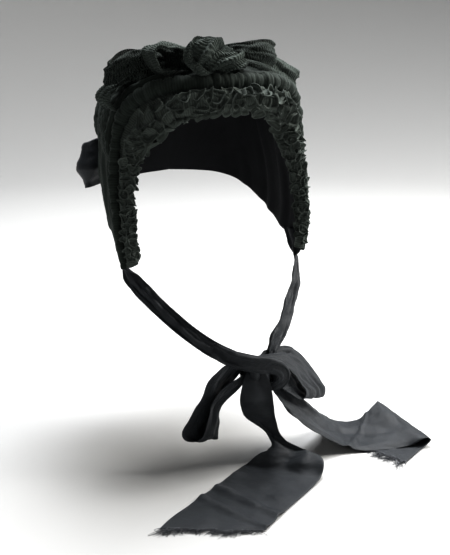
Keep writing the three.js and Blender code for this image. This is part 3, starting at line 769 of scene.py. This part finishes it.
def bandGrid(rows, make):
    # points of a cloth band along its table, and their places on the cloth
    full, strip = make["width"], make["strip"]
    length = evenly(rows, 2)[1]
    steps = max(int(length / make["spacing"]), 12)
    t, length = evenly(rows, steps)
    table = through(rows, t)
    centre = place(*table[:, :3].T)
    across = unit(table[:, 3:6])
    along = unit(np.gradient(centre, axis=0))
    normal = unit(np.cross(along, across))
    half = (np.maximum(table[:, 6], 0.02) * full)[:, None]
    c = np.linspace(0, 1, make["columns"])[None, :]
    run = np.linspace(0, length, steps)[:, None]
    seed = make["seed"]
    # what is wider than its place is first turned behind at both sides, then pleated
    behind = np.clip(strip / (2 * half) - 1, 0, 1) * make["behind"]
    angle = (2 * c - 1) * math.pi / 2 * (1 + behind)
    level = 2 * c - 1
    if make["behind"]:
        level = np.where(behind > 0.02, np.sin(angle), level) * behind + level * (1 - behind)
    sunk = make["thick"] * behind * (np.cos(angle) - 1)
    slack = np.sqrt(np.maximum(strip**2 - (2 * half * (1 + behind)) ** 2, 0))
    depth = np.minimum(slack / (4 * make["folds"]), make["deepest"])
    drift = ripple(run, c * full, make["drift"], seed)
    phase = math.tau * make["folds"] * c + make["shift"] * drift
    uneven = 1 + make["uneven"] * ripple(run, c * full, 0.035, seed + 1)
    fold = depth * uneven * (0.8 * np.sin(phase) + 0.25 * np.sin(2 * phase + 0.8))
    lean = depth * 0.45 * np.sin(2 * phase + seed) * np.sin(math.pi * c)
    relief = make["crumple"] * ripple(run, c * full, make["crumpleSize"], seed + 2)
    crease = 1 - np.abs(ripple(run, c * full, make["creaseSize"], seed + 3))
    relief = relief + make["crease"] * crease**3
    warped = run + 0 * c
    if make["ribs"]:
        warped = run + make["ribWander"] * ripple(run, c * full, 0.011, seed + 4)
        strong = 0.75 + 0.4 * ripple(run, c * full, 0.013, seed + 5)
        relief = relief + make["ribs"] * strong * np.sin(warped * math.tau / bonnet["ribs"])
    for at, spread, high, skew in make["ridges"]:
        relief = relief + high * np.exp(-(((run / length - at - skew * (c - 0.5)) / spread) ** 2))
    for at, side, spread, wide, high in make["mounds"]:
        relief = relief + high * np.exp(-(((run / length - at) / spread) ** 2) - ((c - side) / wide) ** 2)
    relief = relief + make["belly"] * (half / half.max()) ** 2 * (1 - (2 * c - 1) ** 2)
    grid = centre[:, None] + across[:, None] * (level * half + lean)[..., None]
    grid = grid + normal[:, None] * (fold + relief + sunk)[..., None]
    if make["end"]:
        near = np.exp(-(length - run) / make["endReach"])
        worn = near * make["end"] * ripple(0 * run, c * full, 0.016, seed + 6)
        grid = grid + along[:, None] * worn[..., None]
    if make["lies"]:
        # nothing goes below the surface, and what comes near it eases down onto it
        low = surface + make["wall"] / 2 + 0.0003
        grid[..., 2] = low + np.logaddexp(0, (grid[..., 2] - low) / make["ease"]) * make["ease"]
    return grid, c * full, warped, strip * length


def fringe(name, grid, make):
    # frayed threads along a band's last edge, in clumps, lying on the surface
    draw = np.random.default_rng(make["seed"])
    edge = grid[-1]
    ahead = unit((grid[-1] - grid[-4]).mean(axis=0) * (1, 1, 0))
    aside = unit(edge[-1] - edge[0])
    clump = ripple(np.linspace(0, 1, 400), np.zeros(400), 0.09, make["seed"] + 1)
    turn = np.arange(4) / 4 * math.tau
    step = np.linspace(0, 1, make["bends"])
    parts = []
    for _ in range(make["threads"]):
        at = draw.uniform(make["span"][0], make["span"][1])
        dense = clump[int(at * 399)]
        if draw.uniform(-1, 1) > dense + 0.5:
            continue
        j = at * (len(edge) - 1)
        i = int(j)
        after = edge[min(i + 1, len(edge) - 1)]
        root = edge[i] + (after - edge[i]) * (j - i) - ahead * make["tuck"]
        long = draw.uniform(*make["length"]) * (0.6 + 0.5 * max(dense, 0))
        sway = draw.normal(0, make["sway"]) + 0.5 * math.sin(at * 40 + dense)
        curl = draw.normal(0, make["sway"])
        line = root + step[:, None] * long * ahead
        line = line + ((sway * step**1.5 + curl * 0.5 * np.sin(step * 5)) * long * 0.6)[:, None] * aside
        drop = root[2] - surface - make["above"]
        lift = draw.uniform(0, make["lift"])
        line[:, 2] = surface + make["above"] + drop * (1 - step) ** 2 + lift * np.sin(step * math.pi)
        thick = make["thick"] * draw.uniform(0.7, 1.2) * (1 - 0.5 * step)
        way = unit(np.gradient(line, axis=0))
        level = unit(np.cross(way, (0, 0, 1)))
        rise = np.cross(level, way)
        circle = np.cos(turn)[None, :, None] * level[:, None] + np.sin(turn)[None, :, None] * rise[:, None]
        rings = line[:, None] + circle * thick[:, None, None]
        parts.append(tubeParts(rings, turn[None] * 0.001, step[:, None] * long))
    piece = finishMesh(name, *join(parts), make["cloth"])
    tidyMesh(piece)
    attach(piece, "root")
    return piece


def band(name, nodes, rows, make, *more):
    # one piece of one or more lengths of the same cloth
    parts, area, threads = [], 0, []
    for table, changes in ((rows, {}), *more):
        one = {**make, **changes}
        grid, u, v, cut = bandGrid(table, one)
        parts.append(sheetParts(grid, one["wall"], u, v))
        area += cut
    if make["fringe"]:
        threads.append(fringe(name + "Fringe", grid, make["fringe"]))
    piece = finishMesh(name, *join(parts), make["cloth"])
    tidyMesh(piece)
    strip = make["strip"]
    flat = (strip, area / strip)
    settle(piece, make["slot"], *nodes)


# the bow's bands wear the ribbed crape, whose lighter colour is painted light
crapeBand = {
    **plainBand, "width": bonnet["crape"], "strip": 0.036, "spacing": 0.00036, "columns": 26, "folds": 2,
    "deepest": 0.002, "wall": 0.0005, "ribs": 0.0003, "crumple": 0.0011, "on": "crownPuffs",
    "slot": "crape", "cloth": ribbedCrapePaintedLight,
}
sheerBand = {
    **crapeBand, "strip": 0.026, "folds": 1, "deepest": 0.0012, "cloth": sheerCrape, "belly": 0.0035,
}

# the knot is two bunched lobes and a rolled edge at its left
bowKnotRows = [
    (-0.3, -0.27, 0.03, 0.8, -0.1, -0.5, 0.08),
    (-0.3, -0.31, 0.06, 0.78, -0.1, -0.6, 0.16),
    (-0.25, -0.335, 0.11, 0.78, -0.1, -0.6, 0.22),
    (-0.15, -0.3, 0.138, 0.78, -0.1, -0.6, 0.24),
    (-0.02, -0.23, 0.137, 0.8, 0, -0.55, 0.2),
    (0.05, -0.12, 0.11, 0.85, 0.1, -0.5, 0.17),
    (0.06, 0.0, 0.06, 0.9, 0.1, -0.4, 0.14),
]
bowKnotLowRows = [
    (-0.17, -0.28, 0.025, 0.8, 0.1, -0.6, 0.06),
    (-0.13, -0.32, 0.045, 0.76, 0.1, -0.64, 0.11),
    (-0.04, -0.345, 0.07, 0.74, 0.1, -0.66, 0.14),
    (0.06, -0.33, 0.08, 0.74, 0.15, -0.66, 0.145),
    (0.13, -0.26, 0.075, 0.78, 0.2, -0.6, 0.14),
    (0.15, -0.15, 0.05, 0.85, 0.2, -0.5, 0.11),
]
bowKnotEdgeRows = [
    (-0.24, -0.24, 0.16, 0.6, -0.6, 0.5, 0.05),
    (-0.32, -0.29, 0.165, 0.8, -0.5, 0.3, 0.055),
    (-0.39, -0.315, 0.13, 0.9, -0.4, 0, 0.06),
    (-0.41, -0.33, 0.085, 0.9, -0.4, 0.1, 0.06),
    (-0.36, -0.35, 0.05, 0.8, -0.4, 0.4, 0.06),
    (-0.29, -0.36, 0.02, 0.8, -0.4, 0.4, 0.055),
    (-0.22, -0.35, 0.03, 0.8, -0.4, -0.4, 0.05),
    (-0.2, -0.33, 0.07, 0.9, -0.4, -0.1, 0.04),
]
bowKnotBackRows = [
    (-0.36, -0.18, 0.03, 0.2, 0, 0.95, 0.13),
    (-0.22, -0.16, 0.07, 0.1, 0, 0.95, 0.17),
    (-0.05, -0.14, 0.075, 0, 0, 1, 0.18),
    (0.1, -0.12, 0.065, 0, 0, 1, 0.15),
    (0.2, -0.1, 0.05, 0, 0, 1, 0.1),
]
loopLeftOuterRows = [
    (-0.4, 0.0, 0.055, -0.3, 0.2, 0.93, 0.12),
    (-0.55, -0.05, 0.065, -0.3, 0.2, 0.93, 0.16),
    (-0.76, -0.06, 0.05, -0.1, 0.2, 0.96, 0.18),
    (-0.92, -0.03, 0.025, 0.1, 0.2, 0.96, 0.16),
    (-0.985, 0.03, 0.0, 0.5, 0.2, 0.84, 0.14),
    (-0.92, 0.1, 0.02, 0.2, 0, 0.96, 0.16),
    (-0.7, 0.12, 0.06, -0.3, 0, 0.93, 0.17),
    (-0.45, 0.08, 0.06, -0.3, 0, 0.93, 0.12),
]
loopLeftInnerRows = [
    (-0.31, -0.15, 0.12, 0, 1, 0.1, 0.15),
    (-0.45, -0.16, 0.146, 0, 1, 0.08, 0.19),
    (-0.6, -0.16, 0.15, 0, 1, 0.05, 0.2),
    (-0.685, -0.16, 0.122, -0.1, 1, 0, 0.2),
    (-0.675, -0.16, 0.075, -0.1, 1, 0, 0.2),
    (-0.61, -0.16, 0.03, 0, 1, 0, 0.19),
    (-0.5, -0.16, 0.008, 0, 1, 0, 0.17),
    (-0.34, -0.16, 0.008, 0, 1, 0, 0.14),
]
innerBackRows = [
    (-0.72, -0.06, 0.06, 0.2, 0, 0.98, 0.14),
    (-0.58, -0.02, 0.075, 0.1, 0, 1, 0.17),
    (-0.44, -0.05, 0.075, 0, 0, 1, 0.17),
    (-0.28, -0.1, 0.07, 0, 0, 1, 0.15),
]
loopLeftLowRows = [
    (-0.68, 0.08, -0.03, 0, 1, 0, 0.14),
    (-0.8, 0.05, -0.012, 0, 1, 0, 0.17),
    (-0.92, 0.03, -0.035, 0, 1, 0, 0.18),
    (-1.02, 0.03, -0.075, 0, 1, 0, 0.18),
    (-1.055, 0.04, -0.12, 0, 1, 0, 0.17),
    (-0.98, 0.06, -0.165, 0, 1, 0, 0.14),
]
lowEdgeRows = [
    (-0.72, -0.02, -0.012, 0.5, 0.4, 0.76, 0.03),
    (-0.8, -0.055, -0.01, 0.5, 0.3, 0.8, 0.045),
    (-0.92, -0.08, -0.035, 0.5, 0.2, 0.84, 0.05),
    (-1.02, -0.08, -0.075, 0.85, 0.2, 0.5, 0.05),
    (-1.055, -0.06, -0.12, 0.98, 0.1, 0, 0.05),
    (-0.99, -0.03, -0.16, 0.9, 0.1, -0.4, 0.045),
    (-0.9, 0.0, -0.185, 0.6, 0.2, -0.7, 0.03),
]
loopRightRows = [
    (0.06, -0.14, 0.1, 0.1, 0.3, 0.95, 0.12),
    (0.22, -0.2, 0.108, 0.05, 0.3, 0.95, 0.14),
    (0.4, -0.21, 0.112, 0, 0.25, 0.97, 0.16),
    (0.53, -0.17, 0.105, 0, 0.1, 0.99, 0.16),
    (0.58, -0.1, 0.095, 0, 0.1, 0.99, 0.14),
    (0.52, -0.03, 0.095, 0, 0, 1, 0.14),
    (0.32, -0.01, 0.1, 0, 0, 1, 0.14),
    (0.1, -0.05, 0.095, 0, 0, 1, 0.12),
]
rightFoldRows = [
    (0.1, -0.27, 0.075, 0, 0.5, 0.86, 0.04),
    (0.26, -0.29, 0.055, 0, 0.5, 0.86, 0.05),
    (0.4, -0.26, 0.035, 0.1, 0.5, 0.86, 0.05),
    (0.5, -0.2, 0.03, 0.2, 0.5, 0.8, 0.035),
]
bandEndRows = [
    (0.36, 0.06, 0.085, 0.1, 0.7, 0.5, 0.15),
    (0.52, 0.05, 0.075, 0.15, 0.6, 0.7, 0.17),
    (0.69, 0.045, 0.035, 0.25, 0.5, 0.8, 0.18),
    (0.86, 0.045, -0.01, 0.35, 0.5, 0.8, 0.18),
    (1.0, 0.05, -0.065, 0.45, 0.5, 0.75, 0.18),
]
rolledEdge = dict(
    strip=0.008, folds=1, deepest=0.0004, belly=0.0022, crumple=0.0004, columns=12, ribs=0.00035,
)
band(
    "bowKnot", ["bow_knot"], bowKnotRows,
    {**crapeBand, "folds": 2, "deepest": 0.0024, "seed": 51, "belly": -0.006, "ribs": 0.00042},
    (bowKnotLowRows, dict(seed=58, belly=-0.005)),
    (bowKnotBackRows, dict(seed=59, belly=0.001)),
    (bowKnotEdgeRows, {**rolledEdge, "seed": 60}),
)
band(
    "bowLoopLeftOuter", ["bow_loop_left_outer"], loopLeftOuterRows,
    {**sheerBand, "seed": 52, "belly": -0.0035},
)
band(
    "bowLoopLeftInner", ["bow_loop_left_inner"], loopLeftInnerRows,
    {**crapeBand, "strip": 0.027, "seed": 53},
    (innerBackRows, dict(seed=57, folds=3, deepest=0.0015)),
)
band(
    "bowLoopLeftLow", ["bow_loop_left_low"], loopLeftLowRows,
    {**crapeBand, "strip": 0.024, "seed": 54},
    (lowEdgeRows, {**rolledEdge, "seed": 61}),
)
band(
    "bowLoopRight", ["bow_loop_right"], loopRightRows,
    {**sheerBand, "seed": 55},
    (rightFoldRows, {**rolledEdge, "seed": 62}),
)
band(
    "bowBandEnd", ["bow_band_end"], bandEndRows,
    {**crapeBand, "strip": 0.027, "seed": 56, "folds": 1.5, "deepest": 0.001, "end": 0.0012},
)

# back bow

silkBand = {
    **plainBand, "width": bonnet["ribbon"], "strip": bonnet["ribbon"], "spacing": 0.0009, "columns": 46,
    "folds": 2, "deepest": 0.0032, "wall": 0.0004, "crumple": 0.0007, "slot": "silk", "cloth": silk,
}

backKnotRows = [
    (0, 0.745, -0.4, 1, 0, 0, 0.14),
    (0, 0.79, -0.41, 1, 0, 0, 0.17),
    (0, 0.825, -0.5, 1, 0, 0, 0.19),
    (0, 0.79, -0.58, 1, 0, 0, 0.17),
    (0, 0.75, -0.585, 1, 0, 0, 0.14),
]
backLoopRows = [
    (-0.1, 0.775, -0.49, 0, 0, 1, 0.13),
    (-0.34, 0.765, -0.49, 0, 0, 1, 0.22),
    (-0.62, 0.715, -0.5, 0, 0, 1, 0.29),
    (-0.85, 0.635, -0.515, 0, 0, 1, 0.32),
    (-0.955, 0.61, -0.53, 0, 0, 1, 0.31),
    (-0.93, 0.67, -0.54, 0, 0, 1, 0.31),
    (-0.73, 0.745, -0.53, 0, 0, 1, 0.29),
    (-0.42, 0.8, -0.51, 0, 0, 1, 0.21),
    (-0.1, 0.81, -0.495, 0, 0, 1, 0.13),
]


def mirrored(rows):
    # a band's table on the wearer's other side
    return [(-row[0], row[1], row[2], -row[3], *row[4:]) for row in rows]


band(
    "backKnot", ["back_knot"], backKnotRows,
    {**silkBand, "strip": 0.034, "deepest": 0.0014, "crumple": 0.0004, "seed": 61, "on": "crownShell"},
)
backLoopBand = {
    **silkBand, "strip": 0.044, "deepest": 0.0006, "behind": 0.3, "crumple": 0.0006, "on": "crownShell",
}
band(
    "backLoopRight", ["back_loop_right"], backLoopRows,
    {**backLoopBand, "seed": 62, "mounds": ((0.5, 0.5, 0.14, 0.36, -0.0085),)},
)
band(
    "backLoopLeft", ["back_loop_left"], mirrored(backLoopRows),
    {**backLoopBand, "seed": 63, "mounds": ((0.5, 0.5, 0.14, 0.36, 0.0085),)},
)

# ties, chin bow and tails

tieRows = [
    (-0.93, 0, -0.89, 0.3, 1, 0, 0.15),
    (-0.925, -0.05, -0.99, 0.1, 1, 0.1, 0.14),
    (-0.875, -0.14, -1.063, -0.6, 0.6, -0.5, 0.12),
    (-0.78, -0.25, -1.14, -0.6, 0.1, -0.8, 0.11),
    (-0.63, -0.36, -1.232, -0.55, -0.1, -0.8, 0.11),
    (-0.48, -0.47, -1.31, -0.4, -0.2, -0.9, 0.11),
    (-0.31, -0.56, -1.377, -0.3, -0.2, -0.9, 0.11),
    (-0.05, -0.61, -1.445, -0.1, -0.2, -1, 0.1),
]
tieLeftRows = mirrored(tieRows[:-1]) + [(0.22, -0.6, -1.445, 0.1, -0.2, -1, 0.1)]
chinKnotRows = [
    (0.05, -0.53, -1.455, 1, 0, -0.1, 0.2),
    (0.07, -0.64, -1.46, 1, 0, -0.12, 0.2),
    (0.1, -0.675, -1.465, 1, 0, -0.2, 0.21),
    (0.12, -0.675, -1.53, 1, 0, -0.2, 0.2),
    (0.13, -0.63, -1.575, 1, 0, -0.15, 0.2),
    (0.12, -0.54, -1.565, 1, 0, -0.1, 0.2),
    (0.08, -0.505, -1.484, 1, 0, -0.1, 0.2),
]
# the turn of ribbon that crosses the knot and bends down round its right side
chinWrapRows = [
    (-0.34, -0.56, -1.372, 0.2, 0.1, 0.97, 0.1),
    (-0.26, -0.66, -1.39, 0.2, 0.1, 0.97, 0.11),
    (-0.13, -0.715, -1.41, 0.15, 0, 0.98, 0.115),
    (0.02, -0.745, -1.43, 0.1, 0, 0.99, 0.115),
    (0.13, -0.755, -1.442, 0.2, -0.1, 0.97, 0.11),
    (0.22, -0.755, -1.468, 0.65, -0.1, 0.75, 0.1),
    (0.265, -0.745, -1.51, 0.99, 0, 0.1, 0.095),
    (0.245, -0.73, -1.55, 0.8, 0, -0.6, 0.08),
    (0.18, -0.7, -1.575, 0.3, 0, -0.95, 0.06),
    (0.1, -0.64, -1.57, 0, 0, -1, 0.04),
]
chinLoopRightRows = [
    (-0.06, -0.62, -1.435, 0.87, 0.33, -0.38, 0.1),
    (-0.12, -0.623, -1.446, 0.87, 0.33, -0.38, 0.14),
    (-0.2, -0.62, -1.473, 0.81, 0.40, -0.43, 0.19),
    (-0.3, -0.612, -1.53, 0.77, 0.47, -0.42, 0.23),
    (-0.345, -0.592, -1.615, 0.88, 0.38, -0.28, 0.24),
    (-0.43, -0.573, -1.71, 0.93, 0.33, -0.17, 0.25),
    (-0.495, -0.562, -1.795, 0.93, 0.33, -0.15, 0.26),
    (-0.47, -0.562, -1.84, 0.88, 0.42, -0.2, 0.26),
    (-0.4, -0.565, -1.855, 0.76, 0.54, -0.33, 0.25),
    (-0.355, -0.577, -1.82, 0.62, 0.62, -0.42, 0.24),
    (-0.342, -0.588, -1.75, 0.60, 0.64, -0.44, 0.22),
    (-0.332, -0.604, -1.669, 0.53, 0.67, -0.5, 0.19),
    (-0.284, -0.623, -1.613, 0.54, 0.62, -0.58, 0.17),
    (-0.19, -0.635, -1.567, 0.57, 0.52, -0.64, 0.15),
    (-0.06, -0.63, -1.523, 0.48, 0.53, -0.70, 0.1),
]
chinLoopLeftRows = [
    (0.1, -0.61, -1.42, 0.80, 0.58, 0.1, 0.14),
    (0.32, -0.592, -1.433, 0.72, 0.69, 0.11, 0.22),
    (0.475, -0.562, -1.475, 0.69, 0.72, 0.02, 0.28),
    (0.623, -0.546, -1.558, 0.75, 0.65, -0.15, 0.31),
    (0.755, -0.535, -1.66, 0.78, 0.57, -0.27, 0.33),
    (0.79, -0.531, -1.695, 0.77, 0.56, -0.3, 0.33),
    (0.775, -0.538, -1.728, 0.76, 0.57, -0.32, 0.33),
    (0.7, -0.558, -1.722, 0.78, 0.56, -0.28, 0.32),
    (0.554, -0.581, -1.656, 0.79, 0.58, -0.19, 0.29),
    (0.387, -0.612, -1.562, 0.78, 0.63, 0.06, 0.23),
    (0.2, -0.615, -1.506, 0.77, 0.60, 0.23, 0.14),
]
tailRightRows = [
    (0.05, -0.66, -1.47, 0.92, -0.4, 0, 0.11),
    (0.015, -0.695, -1.52, 0.93, -0.37, -0.02, 0.165),
    (0.002, -0.712, -1.585, 0.94, -0.35, -0.03, 0.2),
    (0.012, -0.71, -1.655, 0.94, -0.33, -0.03, 0.21),
    (0.062, -0.685, -1.735, 0.94, -0.31, -0.1, 0.2),
    (0.145, -0.675, -1.8, 0.92, -0.31, -0.22, 0.15),
    (0.22, -0.685, -1.848, 0.9, -0.39, -0.2, 0.105),
    (0.255, -0.715, -1.88, 0.92, -0.41, 0.02, 0.105),
    (0.29, -0.75, -1.9, 0.88, -0.47, 0, 0.2),
    (0.295, -0.785, -1.918, 0.84, -0.54, 0.05, 0.36),
    (0.24, -0.825, -1.95, 0.78, -0.62, 0.1, 0.47),
    (0.17, -0.85, -1.99, 0.7, -0.71, 0.04, 0.5),
    (0.03, -0.91, -1.997, 0.58, -0.82, 0, 0.5),
    (-0.36, -1.08, -1.997, 0.56, -0.83, 0, 0.5),
    (-0.66, -1.21, -1.997, 0.68, -0.73, 0, 0.52),
    (-0.84, -1.29, -1.997, 0.9, -0.44, 0, 0.57),
]
tailLeftRows = [
    (0.2, -0.62, -1.53, 0.87, 0.4, 0.25, 0.1),
    (0.34, -0.62, -1.618, 0.84, 0.54, 0.03, 0.18),
    (0.489, -0.61, -1.715, 0.78, 0.62, -0.06, 0.27),
    (0.67, -0.595, -1.81, 0.66, 0.75, -0.1, 0.36),
    (0.85, -0.57, -1.895, 0.5, 0.86, -0.1, 0.43),
    (1.06, -0.575, -1.963, 0.4, 0.91, 0.02, 0.42),
    (1.24, -0.615, -1.976, 0.4, 0.91, 0.05, 0.42),
    (1.41, -0.645, -1.955, 0.26, 0.94, 0.2, 0.42),
    (1.58, -0.655, -1.93, 0.06, 0.96, 0.28, 0.46),
    (1.7, -0.655, -1.915, -0.08, 0.98, 0.16, 0.5),
    (1.79, -0.65, -1.945, -0.06, 1, 0.08, 0.5),
    (1.73, -0.655, -1.99, -0.05, 1, 0, 0.5),
    (1.57, -0.69, -1.997, -0.2, 0.97, 0, 0.5),
    (1.22, -0.81, -1.997, -0.4, 0.92, 0, 0.5),
]
tieBand = {
    **silkBand, "strip": 0.0232, "folds": 1.5, "deepest": 0.0012, "behind": 0.6, "thick": 0.001,
    "held": "hung",
}
band("tieRight", ["tie_right"], tieRows, {**tieBand, "seed": 71})
band("tieLeft", ["tie_left"], tieLeftRows, {**tieBand, "seed": 72})
band(
    "chinKnot", ["chin_knot"], chinKnotRows + chinKnotRows[:1],
    {
        **silkBand, "strip": 0.036, "folds": 2.5, "deepest": 0.002, "seed": 73, "on": "tieRight",
        "spacing": 0.0008,
    },
    (chinWrapRows, dict(
        seed=78, strip=0.022, folds=1.5, deepest=0.0009, behind=0.8, thick=0.0022, belly=0.001,
        crumple=0.0006, spacing=0.0005,
    )),
)
band(
    "chinLoopRight", ["chin_loop_right"], chinLoopRightRows,
    {
        **silkBand, "seed": 74, "on": "chinKnot", "strip": 0.031, "folds": 1.2, "deepest": 0.0008,
        "crumple": 0.0009, "crumpleSize": 0.03,
    },
)
band(
    "chinLoopLeft", ["chin_loop_left"], chinLoopLeftRows,
    {
        **silkBand, "seed": 75, "on": "chinKnot", "strip": 0.0342, "folds": 1.2, "deepest": 0.001,
        "crumple": 0.0005,
    },
)
frayedEnd = dict(
    threads=420,
    bends=7,
    length=(0.005, 0.012),
    span=(0.01, 0.99),
    sway=0.7,
    thick=0.00022,
    tuck=0.0012,  # how far each thread starts inside the cloth
    above=0.0004,
    lift=0.0016,
    seed=81,
    cloth=frayed,
)
tailBand = {**silkBand, "lies": True, "held": "laid", "on": "chinKnot", "folds": 1.5}
band(
    "tailRight", ["tail_right"], tailRightRows,
    {
        **tailBand, "fringe": frayedEnd, "seed": 76, "behind": 0.85, "deepest": 0.0022, "thick": 0.003,
        "end": 0.0022, "crumple": 0.0006,
        "ridges": ((0.77, 0.024, 0.0026, 0.07), (0.87, 0.02, 0.0022, 0.09), (0.66, 0.03, 0.0012, 0.12)),
        "mounds": ((0.13, 0.5, 0.03, 0.16, 0.0025), (0.2, 0.55, 0.035, 0.22, 0.003)),
    },
)
band(
    "tailLeft", ["tail_left"], tailLeftRows,
    {
        **tailBand, "fringe": {**frayedEnd, "length": (0.007, 0.017), "threads": 300, "seed": 82},
        "seed": 77, "behind": 0.6, "deepest": 0.0013, "end": 0.002, "crumple": 0.0004,
        "ridges": ((0.3, 0.03, 0.0009, 0.1), (0.42, 0.02, 0.0008, -0.08), (0.52, 0.014, 0.0014, 0.12)),
    },
)

# floor and light

stageSet = dict(
    middle=0.0001, flat=1.35, bend=1.3, rise=2.4, steps=32, around=120, pale=(0.46, 0.46, 0.455, 1),
)


def paleStage(make):
    # a round floor that bends up into a wall on all sides, without an edge
    turn = np.linspace(0, math.pi / 2, make["steps"])
    bend = make["flat"] + make["bend"] * np.sin(turn)
    reach = np.concatenate([[make["middle"]], bend, [make["flat"] + make["bend"]]])
    high = np.concatenate([[0], make["bend"] * (1 - np.cos(turn)), [make["rise"]]])
    angle = np.arange(make["around"]) / make["around"] * math.tau
    grid = np.zeros((len(reach), make["around"], 3))
    grid[..., 0] = reach[:, None] * np.cos(angle)
    grid[..., 1] = reach[:, None] * np.sin(angle)
    grid[..., 2] = high[:, None] + surface
    cover = Shader("pale card")
    card = cover.node("TexCoord", out=3)
    grain = cover.node("TexNoise", sockets={"Vector": card, "Scale": 240, "Detail": 4})
    cover.feed(Base_Color=make["pale"], Roughness=0.55 + grain * 0.1)
    points = grid.reshape(-1, 3)
    faces = gridFaces(len(reach), make["around"], closed=True)
    floor = finishMesh("floor", points, faces, points[:, :2], cover.material)
    print("floor laid")


paleStage(stageSet)

lights = dict(
    key=dict(place=(1.2, -0.25, 0.8), size=0.7, power=44, colour=(1, 0.985, 0.96)),
    fill=dict(place=(-1.3, -0.5, 0.5), size=1.4, power=0.15, colour=(0.92, 0.96, 1)),
    top=dict(place=(0.35, 0.45, 1.25), size=0.7, power=58, colour=(0.97, 0.98, 1)),
)
litPoint = np.array([0, 0, -0.15])
for name, lamp in lights.items():
    toward = litPoint - np.array(lamp["place"])
    tilt = math.atan2(math.hypot(toward[0], toward[1]), -toward[2])
    heading = math.atan2(toward[1], toward[0]) - math.pi / 2
    bpy.ops.object.light_add(type="AREA", location=lamp["place"])
    light = bpy.context.object
    light.name = name
    light.data.size = lamp["size"]
    light.data.energy = lamp["power"]
    light.data.color = lamp["colour"]
    light.rotation_euler = (tilt, 0, heading)

room = dict(colour=(0.86, 0.88, 0.9, 1), strength=0.14, gamma=0.84)
world = bpy.data.worlds.new("room")
bpy.context.scene.world = world
world.use_nodes = True
background = world.node_tree.nodes["Background"]
background.inputs[0].default_value = room["colour"]
background.inputs[1].default_value = room["strength"]
bpy.context.scene.view_settings.view_transform = "Standard"
bpy.context.scene.view_settings.gamma = room["gamma"]
print("lights set")
